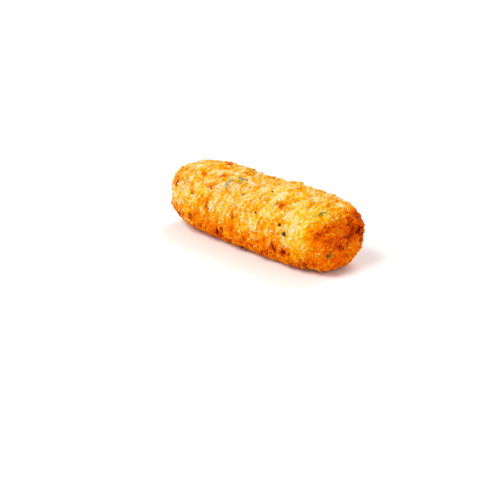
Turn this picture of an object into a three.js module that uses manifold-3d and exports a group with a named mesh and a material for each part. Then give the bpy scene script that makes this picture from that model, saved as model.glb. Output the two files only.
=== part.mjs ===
// A thick fried fish stick: one finger of fillet in a craggy breadcrumb crust, lying on its flatter side.
// Millimetres, +Z up. The stick lies along X and its blunter, thicker end points to +X. The origin is on
// the surface it lies on, below the middle of its bounding box.
import * as THREE from "three";
import { mergeVertices } from "three/addons/utils/BufferGeometryUtils.js";
import Module from "manifold-3d";

// Driving dimensions, over the crust and before its crumbs.
const LENGTH = 85;
const WIDTH = 29.5;
const HEIGHT = 27.5;
const BEND = 0.8; // how far the middle bows towards -Y
const FLAT_DEPTH = 0.8; // what lying on its side presses off the underside

// How square the outlines are: 2 is an ellipse, and larger is boxier.
const LEFT_BLUNTNESS = 4.3;
const RIGHT_BLUNTNESS = 5.8;
const TOP_SQUARENESS = 2.2;
const UNDERSIDE_SQUARENESS = 2.5;

// The crust's relief: layers of noise, each with its grain (the spacing of its bumps) and its rise.
const SWELLS = { grain: 21, rise: 0.75, seed: 11 };
const LUMPS = { grain: 7.5, rise: 0.45, seed: 23 };
const CRAGS = { grain: 3.4, rise: 0.5, seed: 37 };
const CRAG_CREASES = 0.6; // how much of a crag's rise lies below the crust
const UNDERSIDE_RELIEF = 0.4; // the share of the relief that is left in the middle of the underside

// Broad bulges and dents: where along (from the middle), the angle round (from +Y up), the distance over
// which each one fades, and its rise.
const BULGES = [
  { x: -26, angle: 95, reach: 12, rise: 0.5 }, // the hump near the slimmer end
  { x: 30, angle: 165, reach: 9, rise: 0.6 }, // the full shoulder before the blunt end
  { x: 19, angle: 208, reach: 5, rise: -0.9 }, // a dent low on the front
];

// The crust's grid of faces.
const FACES_ALONG = 56;
const FACES_ACROSS = 14; // on each of the four sides, and both ways on the ends

// The angles round that scattered crumbs take, and that scattered seasoning keeps to: the seasoning that
// shows from the front and above is placed by hand instead.
const ALL_ROUND = { from: 0, turn: 360 };
const REAR = { from: -150, turn: 205 };

// What is fused to the crust. Of each kind, shape is a piece's length, breadth and thickness as shares of
// its size, sunk is the share of it below the crust, and count pieces are scattered over spread, from the
// largest size to the smallest. onSides places others by hand: how far along, the angle round, the size
// and the turn from lengthwise. onBluntEnd does the same, from the middle of the blunt end.
const CRUMBS = {
  seed: 1,
  shape: [1, 0.8, 0.45],
  sunk: 0.32,
  count: 56,
  size: [3.3, 1.8],
  spread: ALL_ROUND,
};
const HERB_LEAVES = {
  seed: 2,
  shape: [1, 0.22, 0.17],
  sunk: 0.3,
  count: 8,
  size: [3.8, 1.8],
  spread: REAR,
  onSides: [
    { x: -9, angle: 125, size: 4.4, turn: 99 },
    { x: -5, angle: 116, size: 3.6, turn: 111 },
    { x: -3, angle: 110, size: 1.8, turn: 10 },
    { x: -12, angle: 61, size: 2, turn: 30 },
    { x: -7, angle: 87, size: 2.8, turn: 50 },
    { x: 1, angle: 133, size: 2.4, turn: 75 },
    { x: 2, angle: 73, size: 2.6, turn: 20 },
    { x: 37, angle: 123, size: 1.9, turn: 60 },
  ],
  onBluntEnd: [{ fromMiddle: 8, angle: 205, size: 2.8, turn: 100 }],
};
const CHILLI_FLAKES = {
  seed: 3,
  shape: [1, 0.6, 0.26],
  sunk: 0.3,
  count: 6,
  size: [3, 2],
  spread: REAR,
  onSides: [
    { x: -35, angle: 151, size: 3.4, turn: 60 },
    { x: -24, angle: 122, size: 3.2, turn: 20 },
    { x: -15, angle: 170, size: 2.6, turn: 80 },
    { x: -16, angle: 142, size: 2.4, turn: 10 },
    { x: -13, angle: 113, size: 2.4, turn: 40 },
    { x: 21, angle: 135, size: 2.2, turn: 70 },
    { x: 20, angle: 196, size: 3, turn: 100 },
  ],
  onBluntEnd: [{ fromMiddle: 9, angle: 62, size: 2.4, turn: 30 }],
};
const PEPPER_GRAINS = {
  seed: 4,
  shape: [1, 0.92, 0.85],
  sunk: 0.35,
  count: 10,
  size: [1.5, 0.9],
  spread: REAR,
  onSides: [
    { x: 24, angle: 158, size: 1.2, turn: 0 },
    { x: 27, angle: 168, size: 1.8, turn: 40 },
    { x: 10, angle: 153, size: 0.9, turn: 80 },
    { x: -1, angle: 172, size: 1, turn: 20 },
    { x: -25, angle: 197, size: 1, turn: 60 },
    { x: -31, angle: 147, size: 1.1, turn: 0 },
    { x: 12, angle: 114, size: 0.8, turn: 50 },
  ],
  onBluntEnd: [
    { fromMiddle: 5, angle: 88, size: 1.2, turn: 0 },
    { fromMiddle: 1.5, angle: 120, size: 0.9, turn: 30 },
    { fromMiddle: 7.5, angle: 174, size: 1.2, turn: 70 },
    { fromMiddle: 3, angle: 240, size: 1, turn: 10 },
    { fromMiddle: 9.5, angle: 42, size: 1.2, turn: 50 },
  ],
};

// A number from 0 to 1 that looks random and is the same for the same three inputs.
function scramble(a, b, c) {
  const wave = Math.sin(a * 127.1 + b * 311.7 + c * 74.7) * 43758.5453;
  return wave - Math.floor(wave);
}

// Smooth noise from -1 to 1, with one value scrambled at each corner of a unit lattice.
function smoothNoise(x, y, z) {
  const corner = [x, y, z].map(Math.floor);
  const ease = [x, y, z].map((value, i) => {
    const t = value - corner[i];
    return t * t * t * (t * (6 * t - 15) + 10);
  });
  let sum = 0;
  for (let i = 0; i < 8; i++) {
    const step = [i & 1, (i >> 1) & 1, i >> 2];
    const weight = step.reduce((share, s, k) => share * (s ? ease[k] : 1 - ease[k]), 1);
    sum += weight * scramble(corner[0] + step[0], corner[1] + step[1], corner[2] + step[2]);
  }
  return 2 * sum - 1;
}

// The noise of one layer of relief at a point, from -1 to 1.
function layerNoise(point, { grain, seed }) {
  return smoothNoise(point.x / grain + seed, point.y / grain + seed, point.z / grain + seed);
}

// How far the bulges and dents lift the form at x and an angle round it, where it is that wide.
function bulgeRise(x, angle, radius) {
  return BULGES.reduce((sum, bulge) => {
    const turn = angle - THREE.MathUtils.degToRad(bulge.angle);
    const round = radius * Math.atan2(Math.sin(turn), Math.cos(turn));
    return sum + bulge.rise * Math.exp(-(((x - bulge.x) ** 2 + round ** 2) / bulge.reach ** 2));
  }, 0);
}

// How far the relief lifts the crust at a point of it, on a side that faces up by upness.
function reliefRise(point, upness) {
  const soft = SWELLS.rise * layerNoise(point, SWELLS) + LUMPS.rise * layerNoise(point, LUMPS);
  const crags = CRAGS.rise * (2 * Math.abs(layerNoise(point, CRAGS)) - CRAG_CREASES);
  const pressed = THREE.MathUtils.smoothstep(-upness, 0.5, 0.95);
  return (soft + crags) * THREE.MathUtils.lerp(1, UNDERSIDE_RELIEF, pressed);
}

// A point on the crust. along and out are a place on the rim of a square that stands for the stick's
// outline: out is 1 on the long sides, where along runs from -1 to 1, and along is -1 or 1 on the two
// ends, where out falls to 0 at the tip. angle is the place round the stick, from +Y up.
function crustPoint(along, out, angle) {
  const bluntness = THREE.MathUtils.lerp(LEFT_BLUNTNESS, RIGHT_BLUNTNESS, (along + 1) / 2);
  const pull = (Math.abs(along) ** bluntness + out ** bluntness) ** (-1 / bluntness);
  const x = along * pull;
  const girth = out * pull;
  const c = Math.cos(angle);
  const s = Math.sin(angle);
  const squareness = s < 0 ? UNDERSIDE_SQUARENESS : TOP_SQUARENESS;
  const reach = (Math.abs(c) ** squareness + Math.abs(s) ** squareness) ** (-1 / squareness);
  const wide = girth * reach;
  const form = new THREE.Vector3(
    (x * LENGTH) / 2,
    (wide * c * WIDTH) / 2 - BEND * (1 - x * x),
    (wide * s * HEIGHT) / 2,
  );
  const sideways = girth ** (bluntness - 1) / (WIDTH / 2);
  const endways = (Math.sign(x) * Math.abs(x) ** (bluntness - 1)) / (LENGTH / 2);
  const outward = new THREE.Vector3(endways, sideways * c, sideways * s).normalize();
  const rise = bulgeRise(form.x, angle, (girth * HEIGHT) / 2) + reliefRise(form, outward.z);
  return form.addScaledVector(outward, rise);
}

// The crust as one closed skin: a box whose faces are drawn onto the stick's rounded form.
function crustGeometry() {
  const box = new THREE.BoxGeometry(2, 2, 2, FACES_ALONG, FACES_ACROSS, FACES_ACROSS);
  box.deleteAttribute("normal");
  box.deleteAttribute("uv");
  const skin = mergeVertices(box);
  const place = skin.getAttribute("position");
  for (let i = 0; i < place.count; i++) {
    const out = Math.max(Math.abs(place.getY(i)), Math.abs(place.getZ(i)));
    const [y, z] = [place.getY(i), place.getZ(i)].map((v) => (out ? Math.tan((v / out) * (Math.PI / 4)) : 0));
    const point = crustPoint(place.getX(i), out, Math.atan2(z, y));
    place.setXYZ(i, point.x, point.y, point.z);
  }
  return skin;
}

// How far along the square's rim the long sides are at x.
function alongAt(x) {
  const share = x / (LENGTH / 2);
  const bluntness = THREE.MathUtils.lerp(LEFT_BLUNTNESS, RIGHT_BLUNTNESS, (share + 1) / 2);
  return share * (1 - Math.abs(share) ** bluntness) ** (-1 / bluntness);
}

// A place for scattered piece number i of a kind. Places are spread evenly over the sides and both ends.
function scatteredPlace(i, kind) {
  const lengthwise = (0.5 + kind.seed * 0.37 + i * 0.7548776662) % 1;
  const around = (0.5 + kind.seed * 0.53 + i * 0.569840291 + 0.08 * scramble(i, kind.seed, 5)) % 1;
  const sideShare = LENGTH / (LENGTH + HEIGHT / 2);
  const toEnd = 2 * lengthwise - 1;
  const onSide = Math.abs(toEnd) < sideShare;
  return {
    along: onSide ? toEnd / sideShare : Math.sign(toEnd),
    out: onSide ? 1 : Math.sqrt((1 - Math.abs(toEnd)) / (1 - sideShare)),
    angle: THREE.MathUtils.degToRad(kind.spread.from + kind.spread.turn * around),
    size: THREE.MathUtils.lerp(kind.size[0], kind.size[1], i / kind.count),
    turn: 360 * scramble(i, kind.seed, 9),
  };
}

// Every place of a kind: the ones chosen by hand, then the scattered ones.
function placesOf(kind) {
  const inRadians = (place) => ({ ...place, angle: THREE.MathUtils.degToRad(place.angle) });
  const onSides = (kind.onSides ?? []).map((p) => ({ ...inRadians(p), along: alongAt(p.x), out: 1 }));
  const onEnd = (kind.onBluntEnd ?? []).map((p) => ({
    ...inRadians(p),
    along: 1,
    out: p.fromMiddle / (HEIGHT / 2),
  }));
  const scattered = Array.from({ length: kind.count }, (_, i) => scatteredPlace(i, kind));
  return [...onSides, ...onEnd, ...scattered];
}

// The frame of a place on the crust: its point, and axes that point along, across and out of the crust.
function frameAt({ along, out, angle }) {
  const nudge = 0.02;
  const point = crustPoint(along, out, angle);
  const beside = crustPoint(along, out, angle + nudge).sub(point);
  const onSide = Math.abs(along) < 1 - nudge;
  const ahead = onSide
    ? crustPoint(along + nudge, out, angle).sub(point)
    : crustPoint(along, out - nudge * Math.sign(along), angle).sub(point);
  const outward = new THREE.Vector3().crossVectors(beside, ahead).normalize();
  const onward = ahead.normalize();
  return { point, onward, across: new THREE.Vector3().crossVectors(outward, onward), outward };
}

// One fused piece: a rough nugget, stretched to its kind's shape and turned to lie on the crust.
function nuggetGeometry(place, kind, number) {
  const { point, onward, across, outward } = frameAt(place);
  const nugget = new THREE.IcosahedronGeometry(0.5, 0);
  nugget.deleteAttribute("normal");
  nugget.deleteAttribute("uv");
  const rough = mergeVertices(nugget);
  const corner = rough.getAttribute("position");
  for (let k = 0; k < corner.count; k++) {
    const swell = 0.8 + 0.4 * scramble(number, k, kind.seed);
    corner.setXYZ(k, corner.getX(k) * swell, corner.getY(k) * swell, corner.getZ(k) * swell);
  }
  rough.scale(...kind.shape.map((share) => share * place.size));
  const lie = new THREE.Matrix4().makeBasis(onward, across, outward);
  lie.multiply(new THREE.Matrix4().makeRotationZ(THREE.MathUtils.degToRad(place.turn)));
  lie.setPosition(point.addScaledVector(outward, place.size * kind.shape[2] * (0.5 - kind.sunk)));
  return rough.applyMatrix4(lie);
}

const wasm = await Module();
wasm.setup();

// A closed geometry with merged vertices as a solid that can be joined and cut.
function toSolid(geometry) {
  return new wasm.Manifold(
    new wasm.Mesh({
      numProp: 3,
      vertProperties: new Float32Array(geometry.getAttribute("position").array),
      triVerts: new Uint32Array(geometry.index.array),
    }),
  );
}

// The faces of a solid as a geometry.
function toGeometry(solid) {
  const mesh = solid.getMesh();
  const geometry = new THREE.BufferGeometry();
  geometry.setAttribute("position", new THREE.BufferAttribute(new Float32Array(mesh.vertProperties), 3));
  geometry.setIndex(new THREE.BufferAttribute(new Uint32Array(mesh.triVerts), 1));
  return geometry;
}

// The slab that the underside is pressed flat against.
function floorSlab() {
  const thickness = 20;
  const slab = new THREE.BoxGeometry(2 * LENGTH, 2 * WIDTH, thickness);
  slab.deleteAttribute("normal");
  slab.deleteAttribute("uv");
  slab.translate(0, 0, -HEIGHT / 2 + FLAT_DEPTH - thickness / 2);
  return toSolid(mergeVertices(slab));
}

// The whole stick as one solid, with its origin below the middle of its box.
function stickGeometry() {
  let stick = toSolid(crustGeometry());
  for (const kind of [CRUMBS, HERB_LEAVES, CHILLI_FLAKES, PEPPER_GRAINS]) {
    placesOf(kind).forEach((place, i) => {
      stick = stick.add(toSolid(nuggetGeometry(place, kind, i)));
    });
  }
  const pieces = stick.subtract(floorSlab()).decompose();
  const whole = pieces.reduce((largest, piece) => (piece.volume() > largest.volume() ? piece : largest));
  const geometry = toGeometry(whole);
  geometry.computeBoundingBox();
  const { min, max } = geometry.boundingBox;
  geometry.translate(-(min.x + max.x) / 2, -(min.y + max.y) / 2, -min.z);
  geometry.computeVertexNormals();
  return geometry;
}

const friedCrumb = new THREE.MeshStandardMaterial({ color: 0xeda63c, roughness: 0.62, metalness: 0 });

const fishStick = new THREE.Mesh(stickGeometry(), friedCrumb);
fishStick.name = "fish_stick";

const part = new THREE.Group();
part.add(fishStick);

export default part;
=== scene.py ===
"""The looks of a breaded fried fish stick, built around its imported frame.

The stick is one finger of fillet in a crust of fine breadcrumbs, seasoned with herb leaves, chilli flakes
and cracked pepper. The crust is a closed skin with the relief of packed crumbs. Loose crumbs and seasoning
are meshes that lie on it, one piece for each kind. Sizes are in millimetres, in a frame whose origin is the
middle of the plain form: along X, +Y to the back, +Z up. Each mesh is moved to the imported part's place.
"""

import itertools
import logging
import math
from dataclasses import dataclass, field
from enum import Enum, IntEnum

import bpy
import numpy as np
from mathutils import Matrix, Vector


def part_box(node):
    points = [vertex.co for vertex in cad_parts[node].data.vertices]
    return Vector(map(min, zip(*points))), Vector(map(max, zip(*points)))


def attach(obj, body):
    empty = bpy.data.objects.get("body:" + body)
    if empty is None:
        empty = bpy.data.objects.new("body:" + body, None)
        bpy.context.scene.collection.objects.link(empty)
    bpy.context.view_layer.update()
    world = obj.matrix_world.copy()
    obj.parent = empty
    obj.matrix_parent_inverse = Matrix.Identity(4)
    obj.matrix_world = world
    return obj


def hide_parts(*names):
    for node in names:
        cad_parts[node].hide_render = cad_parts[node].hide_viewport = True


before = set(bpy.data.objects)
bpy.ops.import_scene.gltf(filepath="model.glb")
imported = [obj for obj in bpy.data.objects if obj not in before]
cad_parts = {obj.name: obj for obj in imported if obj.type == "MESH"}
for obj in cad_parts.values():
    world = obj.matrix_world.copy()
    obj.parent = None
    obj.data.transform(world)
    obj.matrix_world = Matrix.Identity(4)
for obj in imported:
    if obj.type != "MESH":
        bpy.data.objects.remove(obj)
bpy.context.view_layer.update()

MM = 0.001
NODE = "fish_stick"
BODY = "root"
TONE = "tone"  # the mesh attribute that holds how brown a crumb is, or which hue a leaf has
GOLD = "gold"  # the one that holds how much yellower it is than others of its tone
BAKE_MAP = "OFBake"
STREAKS = (1.5, 0.8, 0.8)  # how many times finer texture is along its own x, y and z: below 1 draws it out
LEAN = math.radians(29)  # how far the texture is turned about Y, so that its streaks lean as they rise
SCRAMBLE_TURNS = (127.1, 311.7, 74.7)  # large and unrelated, so that neighbours scramble differently
SCRAMBLE_SCALE = 43758.5453
LOWEST_CRUMB = 0.35  # how high the lowest packed crumb is, for 1 at the highest
CRUMB_SHOULDER = 0.45  # how far inside its creases a packed crumb is at its height, in grains
RESHUFFLE = 7.31  # what turns the number of a crumb into another one from 0 to 1
SHORTEST = 1e-12  # what a vector of no length is divided by
PLACE_VALUES = 5  # how many values of a row by hand say where a piece is and how it lies

Array = np.ndarray
Colour = tuple[float, float, float]
log = logging.getLogger("fish_stick")


class Slot(Enum):
    """The record's material slots."""

    CRUST = "crust"
    PALE_CRUMB = "pale_crumb"
    TOASTED_CRUMB = "toasted_crumb"
    HERB = "herb"
    CHILLI = "chilli"
    PEPPER = "pepper"


class Spot(Enum):
    """Which face of the stick a given place is on."""

    LONG_SIDE = "long side"
    BLUNT_END = "blunt end"


SIDE, END = Spot.LONG_SIDE, Spot.BLUNT_END


class Draw(IntEnum):
    """What a scrambled number is for, so that two uses of the same seed differ."""

    FLAKE_TONE = 2
    CORNER = 3
    AROUND = 5
    REACH = 7
    TURN = 9
    CURL = 11


# ---------------------------------------------------------------------------------------------- numbers


def scramble(a: Array, b: Array, c: Array) -> Array:
    """Makes numbers that look random and are the same for the same inputs.

    Args:
        a: The first input.
        b: The second.
        c: The third.

    Returns:
        A number from 0 to 1 for each set of three.
    """
    turn_a, turn_b, turn_c = SCRAMBLE_TURNS
    wave = np.sin(a * turn_a + b * turn_b + c * turn_c) * SCRAMBLE_SCALE
    return wave - np.floor(wave)


def smoothstep(value: Array, low: float, high: float) -> Array:
    """0 below low, 1 above high, and a smooth rise between them."""
    t = np.clip((value - low) / (high - low), 0, 1)
    return t * t * (3 - 2 * t)


def smooth_noise(points: Array) -> Array:
    """Smooth noise with one scrambled value at each corner of a unit lattice.

    Args:
        points: Places, as an array whose last axis is x, y and z.

    Returns:
        A value from -1 to 1 for each place.
    """
    corner = np.floor(points)
    t = points - corner
    ease = t * t * t * (t * (6 * t - 15) + 10)
    total = np.zeros(points.shape[:-1])
    for step in itertools.product((0, 1), repeat=3):
        weight = np.prod(np.where(step, ease, 1 - ease), axis=-1)
        total += weight * scramble(*np.moveaxis(corner + step, -1, 0))
    return 2 * total - 1


def cell_noise(points: Array) -> tuple[Array, Array]:
    """Cells round sites that are scrambled within a unit lattice.

    Args:
        points: Places, as an array whose last axis is x, y and z.

    Returns:
        How much further the next site is than the nearest one, which is 0 at a cell's edge, and a
        number from 0 to 1 that all of a cell shares.
    """
    base = np.floor(points)
    nearest = np.full(points.shape[:-1], np.inf)
    second = nearest.copy()
    share = np.zeros(points.shape[:-1])
    for step in itertools.product((-1, 0, 1), repeat=3):
        x, y, z = np.moveaxis(base + step, -1, 0)  # the small numbers below set the four scrambles apart
        site = np.stack([x + scramble(x, y, z), y + scramble(y, z, x + 5), z + scramble(z, x, y + 9)], -1)
        gap = np.linalg.norm(points - site, axis=-1)
        closer = gap < nearest
        second = np.where(closer, nearest, np.minimum(second, gap))
        share = np.where(closer, scramble(z, y + 3, x + 7), share)
        nearest = np.where(closer, gap, nearest)
    return second - nearest, share


def unit(vectors: Array) -> Array:
    """The vectors at length 1."""
    return vectors / np.maximum(np.linalg.norm(vectors, axis=-1, keepdims=True), SHORTEST)


def drawn(points: Array, streaks: tuple[float, float, float] = STREAKS) -> Array:
    """Points in the texture's own frame, where streaks run round the stick and lean.

    Args:
        points: Places, as an array whose last axis is x, y and z.
        streaks: How many times finer the texture is along each axis of that frame.

    Returns:
        The points there.
    """
    x, y, z = np.moveaxis(points, -1, 0)
    c, s = math.cos(LEAN), math.sin(LEAN)
    return np.stack([x * c - z * s, y, x * s + z * c], -1) * streaks


# ------------------------------------------------------------------------------------------ stick's form


@dataclass(frozen=True)
class Layer:
    """One layer of relief: the spacing of its bumps, their rise and its seed."""

    grain: float
    rise: float
    seed: float

    def noise(self, points: Array) -> Array:
        """The layer's smooth noise at the points, from -1 to 1."""
        return smooth_noise(points / self.grain + self.seed)

    def crumbs(self, points: Array) -> tuple[Array, Array]:
        """The layer as packed crumbs.

        Args:
            points: Places, as an array whose last axis is x, y and z.

        Returns:
            The crumbs' height, 0 in the creases and up to 1 on the highest, and a number from -1 to 1
            that all of a crumb shares.
        """
        edge, share = cell_noise(points / self.grain + self.seed)
        height = (LOWEST_CRUMB + (1 - LOWEST_CRUMB) * share) * smoothstep(edge, 0.0, CRUMB_SHOULDER)
        return height, 2 * ((share * RESHUFFLE) % 1) - 1


@dataclass(frozen=True)
class Bulge:
    """A broad bulge or dent: its place, how far it reaches and its rise."""

    x: float
    angle: float
    reach: float
    rise: float

    def share(self, x: Array, angle: Array, radius: Array) -> Array:
        """How strongly it is felt.

        Args:
            x: Distances along the stick.
            angle: Angles round it in radians.
            radius: How thick the form is there.

        Returns:
            A value from 0 to 1 for each.
        """
        turn = angle - math.radians(self.angle)
        round_it = radius * np.arctan2(np.sin(turn), np.cos(turn))
        return np.exp(-((x - self.x) ** 2 + round_it**2) / self.reach**2)


@dataclass(frozen=True)
class Place:
    """Where a piece lies on the crust, in the crust's own coordinates, with its size and its turn."""

    along: float
    out: float
    angle: float
    size: float
    turn: float


Toned = tuple[Place, float]  # a place, and the tone of the piece there
Rows = tuple[tuple, ...]  # listed pieces, each as a row of values


@dataclass(frozen=True)
class StickForm:
    """The stick's plain rounded form with its broad relief, as the solid has it."""

    length: float = 85.0
    width: float = 29.5
    height: float = 27.5
    bend: float = 0.8
    flat_depth: float = 0.8
    left_bluntness: float = 4.3
    right_bluntness: float = 5.8
    top_squareness: float = 2.2
    underside_squareness: float = 2.5
    swells: Layer = Layer(21.0, 0.75, 11)
    lumps: Layer = Layer(7.5, 0.45, 23)
    crags: Layer = Layer(3.4, 0.5, 37)
    crag_creases: float = 0.6
    underside_relief: float = 0.4
    pressed_from: tuple[float, float] = (0.5, 0.95)  # how far down a side faces as relief falls to that
    bulges: tuple[Bulge, ...] = (
        Bulge(-26, 95, 12, 0.5),
        Bulge(30, 165, 9, 0.6),
        Bulge(19, 208, 5, -0.9),
    )
    nudge: float = 0.02  # the step that finds the way along and round the crust
    kind_starts: tuple[float, float] = (0.37, 0.53)  # how far apart two kinds of scattered piece start
    even_steps: tuple[float, float] = (0.7548776662, 0.569840291)  # 1/p and 1/p^2 of the plastic number p
    even_jitter: float = 0.08

    @property
    def floor(self) -> float:
        """The height of the surface that the stick lies on."""
        return self.flat_depth - self.height / 2

    def crust(self, along: Array, out: Array, angle: Array) -> tuple[Array, Array]:
        """Points on the crust.

        Args:
            along: From -1 to 1 along the long sides, and -1 or 1 on the ends.
            out: 1 on the long sides, falling to 0 at the tips of the ends.
            angle: The angle round the stick in radians, from +Y up.

        Returns:
            The points, and the way out of the plain form at each.
        """
        along, out, angle = np.broadcast_arrays(along, out, angle)
        blunt = self.left_bluntness + (self.right_bluntness - self.left_bluntness) * (along + 1) / 2
        pull = (np.abs(along) ** blunt + out**blunt) ** (-1 / blunt)
        x, girth = along * pull, out * pull
        c, s = np.cos(angle), np.sin(angle)
        square = np.where(s < 0, self.underside_squareness, self.top_squareness)
        wide = girth * (np.abs(c) ** square + np.abs(s) ** square) ** (-1 / square)
        across = wide * c * self.width / 2 - self.bend * (1 - x * x)
        form = np.stack([x * self.length / 2, across, wide * s * self.height / 2], -1)
        sideways = girth ** (blunt - 1) / (self.width / 2)
        endways = np.sign(x) * np.abs(x) ** (blunt - 1) / (self.length / 2)
        outward = unit(np.stack([endways, sideways * c, sideways * s], -1))
        rise = self.relief(form, outward[..., 2])
        rise += sum(b.rise * b.share(form[..., 0], angle, girth * self.height / 2) for b in self.bulges)
        return form + outward * rise[..., None], outward

    def relief(self, points: Array, upness: Array) -> Array:
        """How far the relief lifts the crust.

        Args:
            points: Places on the plain form.
            upness: How far up the side faces at each, from -1 to 1.

        Returns:
            The rise at each.
        """
        soft = self.swells.rise * self.swells.noise(points) + self.lumps.rise * self.lumps.noise(points)
        crags = self.crags.rise * (2 * np.abs(self.crags.noise(points)) - self.crag_creases)
        pressed = smoothstep(-upness, *self.pressed_from)
        return (soft + crags) * (1 + (self.underside_relief - 1) * pressed)

    def along_at(self, x: Array) -> Array:
        """Finds places on the long sides.

        Args:
            x: Distances along the stick from its middle.

        Returns:
            The crust's coordinate along the long sides at each.
        """
        share = x / (self.length / 2)
        blunt = self.left_bluntness + (self.right_bluntness - self.left_bluntness) * (share + 1) / 2
        return share * (1 - np.abs(share) ** blunt) ** (-1 / blunt)

    def point(self, place: Place) -> Array:
        """The crust's point at a place."""
        return self.crust(place.along, place.out, place.angle)[0]

    def axes_at(self, place: Place) -> tuple[Array, Array]:
        """Finds which way the crust faces.

        Args:
            place: A place on the crust.

        Returns:
            The crust's point there, and the axes that point along, across and out of the crust.
        """
        point = self.point(place)
        beside = self.crust(place.along, place.out, place.angle + self.nudge)[0] - point
        if abs(place.along) < 1 - self.nudge:
            ahead = self.crust(place.along + self.nudge, place.out, place.angle)[0] - point
        else:
            inner = place.out - self.nudge * np.sign(place.along)
            ahead = self.crust(place.along, inner, place.angle)[0] - point
        outward = unit(np.cross(beside, ahead))
        onward = unit(ahead)
        return point, np.stack([onward, np.cross(outward, onward), outward])

    def laid(self, place: Place, ahead: Array, aside: Array) -> tuple[Array, Array]:
        """Points on the crust round a place, for what bends to lie on it.

        Args:
            place: The middle.
            ahead: Distances along the crust from the middle.
            aside: Distances across it.

        Returns:
            The points, and the way out of the plain form at each.
        """
        point = self.point(place)
        if abs(place.along) < 1:
            radius = math.hypot(point[1], point[2])
            return self.crust(self.along_at(point[0] + ahead), 1.0, place.angle - aside / radius)
        reach = place.out * self.height / 2
        inward, round_it = reach - ahead, -aside
        angle = place.angle + np.arctan2(round_it, inward)
        return self.crust(place.along, np.hypot(inward, round_it) / (self.height / 2), angle)

    def clears_floor(self, place: Place, by: float = 1.2) -> bool:
        """Whether the crust at a place is higher than the floor."""
        return bool(self.point(place)[2] > self.floor + by)

    def scattered(self, kind: "Fused") -> list[Place]:
        """Spreads pieces evenly over the sides and both ends, as the solid does.

        Args:
            kind: The kind of fused piece.

        Returns:
            The pieces' places.
        """
        side_share = self.length / (self.length + self.height / 2)
        places = []
        for i in range(kind.count):
            lengthwise = (0.5 + kind.seed * self.kind_starts[0] + i * self.even_steps[0]) % 1
            jitter = self.even_jitter * scramble(i, kind.seed, Draw.AROUND)
            around = (0.5 + kind.seed * self.kind_starts[1] + i * self.even_steps[1] + jitter) % 1
            to_end = 2 * lengthwise - 1
            on_side = abs(to_end) < side_share
            places.append(
                Place(
                    along=to_end / side_share if on_side else math.copysign(1, to_end),
                    out=1.0 if on_side else math.sqrt((1 - abs(to_end)) / (1 - side_share)),
                    angle=math.radians(kind.spread_from + kind.spread_turn * around),
                    size=kind.largest + (kind.smallest - kind.largest) * i / kind.count,
                    turn=2 * math.pi * float(scramble(i, kind.seed, Draw.TURN)),
                )
            )
        return places

    def turned_axes(self, place: Place) -> tuple[Array, Array]:
        """Finds how a piece lies.

        Args:
            place: Where it is, and its turn.

        Returns:
            The crust's point there, and the piece's own axes.
        """
        point, axes = self.axes_at(place)
        c, s = math.cos(place.turn), math.sin(place.turn)
        return point, np.array([[c, s, 0], [-s, c, 0], [0, 0, 1]]) @ axes

    def placed(self, spot: Spot, where: float, angle: float, size: float = 0, turn: float = 0) -> Place:
        """Makes a place from given values.

        Args:
            spot: The face that it is on.
            where: The distance along from the middle of a long side, or out from the middle of the end.
            angle: The angle round the stick in degrees, from +Y up.
            size: How large the piece there is.
            turn: How far it is turned, in degrees.

        Returns:
            The place.
        """
        on_side = spot is Spot.LONG_SIDE
        return Place(
            along=float(self.along_at(where)) if on_side else 1.0,
            out=1.0 if on_side else where / (self.height / 2),
            angle=math.radians(angle),
            size=size,
            turn=math.radians(turn),
        )


@dataclass(frozen=True)
class Fused:
    """How one kind of piece that the solid has fused on is scattered, from the largest to the smallest."""

    seed: int
    count: int
    largest: float
    smallest: float
    shape: tuple[float, float, float] = (1, 1, 1)
    sunk: float = 0.0
    spread_from: float = 0.0
    spread_turn: float = 360.0


REAR = {"spread_from": -150.0, "spread_turn": 205.0}  # the seasoning's scattered pieces keep to the rear
LARGE_FLAKES = Fused(1, 56, 3.3, 1.8, (1, 0.8, 0.45), 0.32)
HERB_LEAVES = Fused(2, 8, 3.8, 1.8, **REAR)
CHILLI_FLAKES = Fused(3, 6, 3.0, 2.0, **REAR)
PEPPER_GRAINS = Fused(4, 10, 1.5, 0.9, (1, 0.92, 0.85), 0.35, **REAR)


# ------------------------------------------------------------------------------------------------ meshes


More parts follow.
